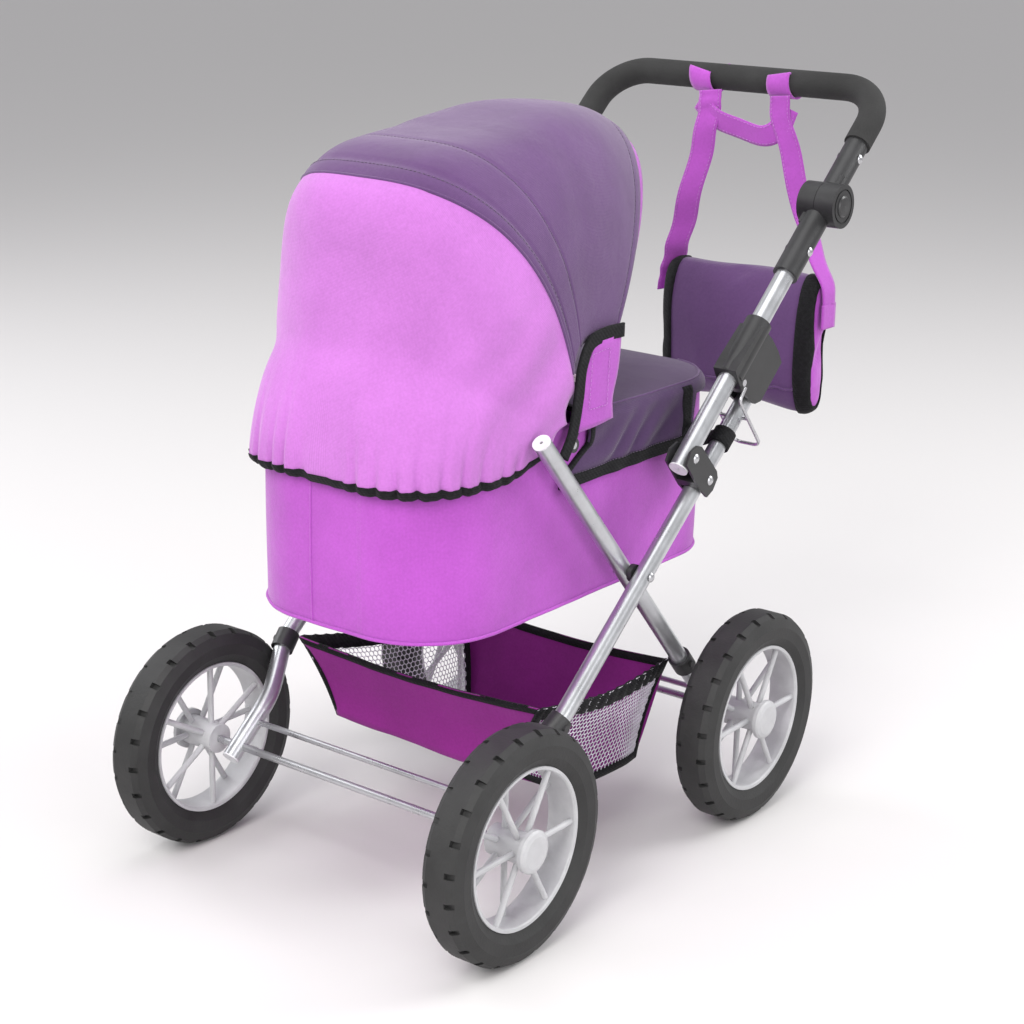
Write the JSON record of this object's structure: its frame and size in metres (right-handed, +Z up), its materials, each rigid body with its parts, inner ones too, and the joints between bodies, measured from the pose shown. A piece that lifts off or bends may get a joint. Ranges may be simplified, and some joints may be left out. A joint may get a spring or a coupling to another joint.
{
  "type": "doll_stroller",
  "caption": "Folding doll stroller: tube chassis with spoked wheels, lined carrycot with hood and apron, under-basket, adjustable push handle and hanging shoulder bag",
  "frame": {"origin": "on the floor, under the middle of the object's bounding box", "axes": "+X to the stroller's right seen from behind the foot end looking towards the handle, +Y from the hood towards the handle, +Z up"},
  "size_m": [0.403, 0.7226, 0.6771],
  "materials": {
    "silver_tube": "satin silver paint on steel tube",
    "rod_steel": "plain zinc-plated wire and rivets",
    "hoop_steel": "black paint",
    "black_plastic": "fine moulded texture",
    "plug_plastic": "light grey",
    "button_plastic": "semi-gloss",
    "foam": "closed-cell foam sleeve",
    "violet_fabric": "woven polyester",
    "purple_fabric": "woven polyester",
    "black_webbing": "ribbed webbing",
    "board": "stiff board",
    "mattress_fabric": "plain weave",
    "eva_tyre": "foam tyre, matt",
    "rim_plastic": "light grey, satin",
    "cap_plastic": "semi-gloss"
  },
  "bodies": {
    "lower_frame": {"front_tube_left": "silver_tube", "front_tube_right": "silver_tube", "front_tube_plugs": "plug_plastic", "front_axle": "rod_steel", "front_cross_rod": "rod_steel", "link_bracket_left": "black_plastic", "link_bracket_right": "black_plastic", "link_rivets": "rod_steel", "pivot_rivets": "rod_steel", "pivot_spacers": "black_plastic", "basket_clips_front": "black_plastic", "basket": "violet_fabric", "carrycot_shell": "violet_fabric", "carrycot_board": "board", "mattress": "mattress_fabric", "carrycot_straps": "black_webbing", "apron": "purple_fabric", "hood_front_panel": "violet_fabric", "hood_canopy": "purple_fabric", "hood_hinge_pins": "rod_steel"},
    "rear_legs": {"rear_tube_left": "silver_tube", "rear_tube_right": "silver_tube", "rear_leg_plugs": "plug_plastic", "rear_axle": "rod_steel", "rear_cross_rod": "rod_steel", "basket_clips_rear": "black_plastic"},
    "upper_frame": {"upper_tube_left": "silver_tube", "upper_tube_right": "silver_tube", "upper_tube_plugs": "plug_plastic", "lock_housing_left": "black_plastic", "lock_housing_right": "black_plastic", "hinge_socket_left": "black_plastic", "hinge_socket_right": "black_plastic", "upper_frame_rivets": "rod_steel"},
    "handle": {"hinge_arm_left": "black_plastic", "hinge_arm_right": "black_plastic", "handle_tube": "silver_tube", "foam_grip": "foam", "handle_rivets": "rod_steel"},
    "hood_hoop": {"hood_hoop": "hoop_steel"},
    "bag": {"bag_body": "purple_fabric", "bag_strap": "black_webbing"},
    "lock_bail_left": {"lock_bail_left": "rod_steel"},
    "hinge_button_left": {"hinge_button_left": "button_plastic"},
    "wheel_front_left": {"tyre_front_left": "eva_tyre", "rim_front_left": "rim_plastic", "hub_cap_front_left": "cap_plastic"},
    "wheel_rear_left": {"tyre_rear_left": "eva_tyre", "rim_rear_left": "rim_plastic", "hub_cap_rear_left": "cap_plastic"},
    "lock_bail_right": {"lock_bail_right": "rod_steel"},
    "hinge_button_right": {"hinge_button_right": "button_plastic"},
    "wheel_front_right": {"tyre_front_right": "eva_tyre", "rim_front_right": "rim_plastic", "hub_cap_front_right": "cap_plastic"},
    "wheel_rear_right": {"tyre_rear_right": "eva_tyre", "rim_rear_right": "rim_plastic", "hub_cap_rear_right": "cap_plastic"}
  },
  "joints": [
    {"name": "rear_leg_fold", "type": "hinge", "parent": "lower_frame", "child": "rear_legs", "pos_m": [0, -0.05347, 0.2733], "axis": [1, 0, 0], "range_deg": [-34, 0], "deforming": ["basket"]},
    {"name": "handle_fold", "type": "hinge", "parent": "lower_frame", "child": "upper_frame", "pos_m": [0, 0.005, 0.3684], "axis": [1, 0, 0], "range_deg": [0, 130]},
    {"name": "handle_height", "type": "hinge", "parent": "upper_frame", "child": "handle", "pos_m": [0, 0.22536, 0.56543], "axis": [1, 0, 0], "range_deg": [-25, 30]},
    {"name": "bag_swing", "type": "hinge", "parent": "handle", "child": "bag", "pos_m": [0, 0.33346, 0.66207], "axis": [1, 0, 0], "range_deg": [0, 60]},
    {"name": "hood_fold", "type": "hinge", "parent": "lower_frame", "child": "hood_hoop", "pos_m": [0, -0.11, 0.395], "axis": [1, 0, 0], "range_deg": [0, 50], "deforming": ["hood_canopy", "hood_front_panel"]},
    {"name": "lock_bail_left", "type": "hinge", "parent": "lower_frame", "child": "lock_bail_left", "pos_m": [-0.157, 0.08472, 0.38925], "axis": [1, 0, 0], "range_deg": [0, 35]},
    {"name": "hinge_button_left", "type": "slide", "parent": "handle", "child": "hinge_button_left", "axis": [1, 0, 0], "range_m": [0, 0.004], "stiffness_N_per_m": 600, "springref_m": -0.002},
    {"name": "wheel_spin_front_left", "type": "hinge", "parent": "lower_frame", "child": "wheel_front_left", "pos_m": [-0.1775, -0.26, 0.1], "axis": [1, 0, 0], "continuous": true},
    {"name": "wheel_spin_rear_left", "type": "hinge", "parent": "rear_legs", "child": "wheel_rear_left", "pos_m": [-0.1775, 0.101, 0.1], "axis": [1, 0, 0], "continuous": true},
    {"name": "lock_bail_right", "type": "hinge", "parent": "lower_frame", "child": "lock_bail_right", "pos_m": [0.157, 0.08472, 0.38925], "axis": [1, 0, 0], "range_deg": [0, 35]},
    {"name": "hinge_button_right", "type": "slide", "parent": "handle", "child": "hinge_button_right", "axis": [-1, 0, 0], "range_m": [0, 0.004], "stiffness_N_per_m": 600, "springref_m": -0.002},
    {"name": "wheel_spin_front_right", "type": "hinge", "parent": "lower_frame", "child": "wheel_front_right", "pos_m": [0.1775, -0.26, 0.1], "axis": [1, 0, 0], "continuous": true},
    {"name": "wheel_spin_rear_right", "type": "hinge", "parent": "rear_legs", "child": "wheel_rear_right", "pos_m": [0.1775, 0.101, 0.1], "axis": [1, 0, 0], "continuous": true}
  ],
  "couplings": [
    {"joint": "bag_swing", "follows": "handle_fold", "ratio": 0.35}
  ]
}
